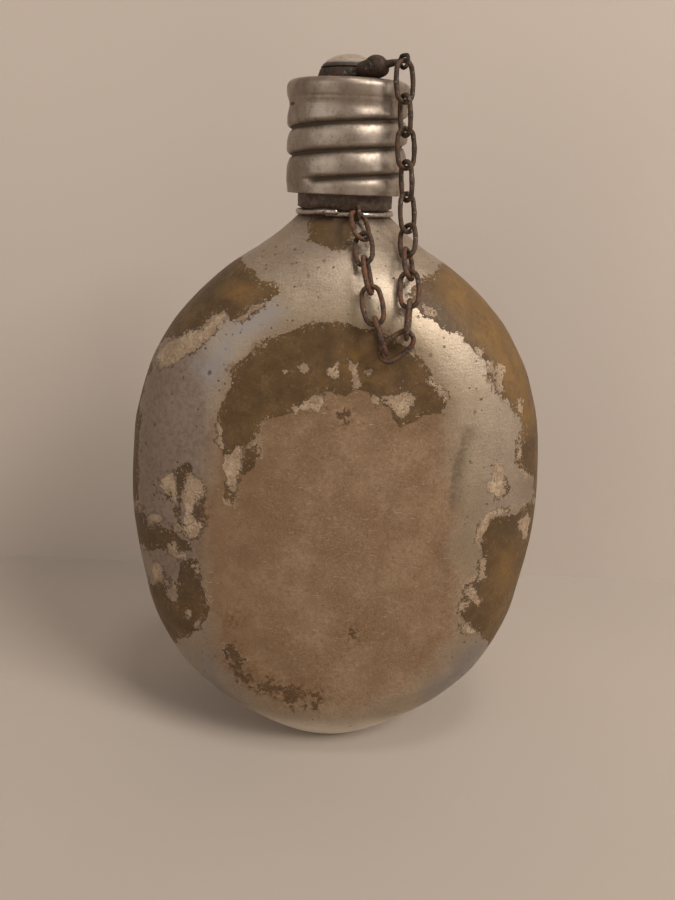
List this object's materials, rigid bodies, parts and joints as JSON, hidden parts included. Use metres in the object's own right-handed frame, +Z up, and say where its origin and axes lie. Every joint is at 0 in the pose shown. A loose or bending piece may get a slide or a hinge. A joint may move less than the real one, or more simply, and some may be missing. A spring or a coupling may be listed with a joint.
{
  "type": "military canteen",
  "caption": "Flattened oval metal flask with a threaded neck and a screw cap held by a riveted swivel, an oval-link chain and a wire ring round the neck.",
  "frame": {"origin": "centre of the flat foot, on the surface it stands on", "axes": "+Z up along the neck and the cap, X across the broad face, -Y towards the face with the chain"},
  "size_m": [0.1256, 0.0709, 0.2062],
  "materials": {
    "flask_aluminium": "bare satin aluminium with worn remains of primer and olive paint",
    "cap_aluminium": "satin, dark dirt in the grooves",
    "rivet_aluminium": "worn bright",
    "swivel_steel": "dark and tarnished",
    "chain_steel": "rusty",
    "ring_wire": "bright wire",
    "seal_rubber": "matt"
  },
  "bodies": {
    "flask": {"flask_body": "flask_aluminium"},
    "swivel": {"chain_swivel": "swivel_steel"},
    "cap": {"screw_cap": "cap_aluminium", "cap_rivet": "rivet_aluminium", "seal_washer": "rivet_aluminium", "cap_seal": "seal_rubber"},
    "ring": {"neck_ring": "ring_wire"},
    "link_01": {"chain_link_01": "chain_steel"},
    "link_02": {"chain_link_02": "chain_steel"},
    "link_03": {"chain_link_03": "chain_steel"},
    "link_04": {"chain_link_04": "chain_steel"},
    "link_05": {"chain_link_05": "chain_steel"},
    "link_06": {"chain_link_06": "chain_steel"},
    "link_07": {"chain_link_07": "chain_steel"},
    "link_08": {"chain_link_08": "chain_steel"},
    "link_09": {"chain_link_09": "chain_steel"},
    "link_10": {"chain_link_10": "chain_steel"},
    "link_11": {"chain_link_11": "chain_steel"},
    "link_12": {"chain_link_12": "chain_steel"},
    "link_13": {"chain_link_13": "chain_steel"},
    "link_14": {"chain_link_14": "chain_steel"},
    "link_15": {"chain_link_15": "chain_steel"}
  },
  "joints": [
    {"name": "cap_lift", "type": "slide", "parent": "flask", "child": "swivel", "axis": [0, 0, 1], "range_m": [0, 0.02975]},
    {"name": "cap_turn", "type": "hinge", "parent": "swivel", "child": "cap", "pos_m": [0, 0, 0.199], "axis": [0, 0, 1], "range_deg": [0, 1530]},
    {"name": "link_01_swing", "type": "hinge", "parent": "swivel", "child": "link_01", "pos_m": [0.01403, -0.01453, 0.2032], "axis": [-0.9196, -0.258, -0.2964], "range_deg": [0, 22.27]},
    {"name": "link_02_swing", "type": "hinge", "parent": "link_01", "child": "link_02", "pos_m": [0.01474, -0.01469, 0.19414], "axis": [-0.1436, -0.0332, 0.9891], "range_deg": [0, 12.6]},
    {"name": "link_03_swing", "type": "hinge", "parent": "link_02", "child": "link_03", "pos_m": [0.01537, -0.01484, 0.18594], "axis": [0.639, -0.2424, 0.73], "range_deg": [0, 10.09]},
    {"name": "link_04_swing", "type": "hinge", "parent": "link_03", "child": "link_04", "pos_m": [0.01601, -0.0149, 0.17775], "axis": [0.7592, -0.3377, 0.5565], "range_deg": [0, 15]},
    {"name": "link_05_swing", "type": "hinge", "parent": "link_04", "child": "link_05", "pos_m": [0.01666, -0.01519, 0.16956], "axis": [0.7333, -0.4392, 0.519], "range_deg": [0, 20.59]},
    {"name": "link_06_swing", "type": "hinge", "parent": "link_05", "child": "link_06", "pos_m": [0.01733, -0.01579, 0.16134], "axis": [0.8983, -0.4182, 0.1348], "range_deg": [0, 30.08]},
    {"name": "link_07_swing", "type": "hinge", "parent": "link_06", "child": "link_07", "pos_m": [0.01744, -0.02127, 0.15515], "axis": [0.5037, -0.8469, -0.1702], "range_deg": [0, 11.64]},
    {"name": "link_08_swing", "type": "hinge", "parent": "link_07", "child": "link_08", "pos_m": [0.01739, -0.02808, 0.15053], "axis": [-0.8791, -0.3221, -0.3512], "range_deg": [0, 23.14]},
    {"name": "link_09_swing", "type": "hinge", "parent": "link_08", "child": "link_09", "pos_m": [0.01797, -0.0324, 0.14347], "axis": [-0.8358, -0.5326, -0.1333], "range_deg": [0, 25.44]},
    {"name": "link_10_swing", "type": "hinge", "parent": "link_09", "child": "link_10", "pos_m": [0.018, -0.03467, 0.13526], "axis": [-0.8001, -0.5912, 0.1011], "range_deg": [0, 28.6]},
    {"name": "ring_turn", "type": "hinge", "parent": "flask", "child": "ring", "pos_m": [0, 0, 0.1646], "axis": [0, 0, 1], "range_deg": [0, 14.23]},
    {"name": "link_15_swing", "type": "hinge", "parent": "ring", "child": "link_15", "pos_m": [0.00355, -0.0154, 0.165], "axis": [-0.3017, -0.7462, 0.5934], "range_deg": [0, 22.24]},
    {"name": "link_14_swing", "type": "hinge", "parent": "link_15", "child": "link_14", "pos_m": [0.00498, -0.02232, 0.15929], "axis": [-0.0295, -0.9968, 0.0744], "range_deg": [0, 22.85]},
    {"name": "link_13_swing", "type": "hinge", "parent": "link_14", "child": "link_13", "pos_m": [0.00591, -0.02823, 0.15362], "axis": [-0.0179, -0.9975, -0.069], "range_deg": [0, 22.33]},
    {"name": "link_12_swing", "type": "hinge", "parent": "link_13", "child": "link_12", "pos_m": [0.00727, -0.03263, 0.14681], "axis": [-0.2919, -0.9548, 0.0554], "range_deg": [0, 15.24]},
    {"name": "link_11_swing", "type": "hinge", "parent": "link_12", "child": "link_11", "pos_m": [0.00908, -0.03475, 0.13902], "axis": [-0.0247, -0.8013, 0.5978], "range_deg": [0, 16.18]}
  ],
  "couplings": [
    {"joint": "cap_lift", "follows": "cap_turn", "m_per_rad": 0.0011141},
    {"joint": "link_01_swing", "follows": "cap_turn", "ratio": 0.014558},
    {"joint": "link_02_swing", "follows": "cap_turn", "ratio": 0.0082378},
    {"joint": "link_03_swing", "follows": "cap_turn", "ratio": 0.0065967},
    {"joint": "link_04_swing", "follows": "cap_turn", "ratio": 0.0098064},
    {"joint": "link_05_swing", "follows": "cap_turn", "ratio": 0.013455},
    {"joint": "link_06_swing", "follows": "cap_turn", "ratio": 0.019658},
    {"joint": "link_07_swing", "follows": "cap_turn", "ratio": 0.0076067},
    {"joint": "link_08_swing", "follows": "cap_turn", "ratio": 0.015126},
    {"joint": "link_09_swing", "follows": "cap_turn", "ratio": 0.016628},
    {"joint": "link_10_swing", "follows": "cap_turn", "ratio": 0.018694},
    {"joint": "ring_turn", "follows": "cap_turn", "ratio": 0.0093008},
    {"joint": "link_15_swing", "follows": "cap_turn", "ratio": 0.014534},
    {"joint": "link_14_swing", "follows": "cap_turn", "ratio": 0.014936},
    {"joint": "link_13_swing", "follows": "cap_turn", "ratio": 0.014593},
    {"joint": "link_12_swing", "follows": "cap_turn", "ratio": 0.009961},
    {"joint": "link_11_swing", "follows": "cap_turn", "ratio": 0.010576}
  ]
}
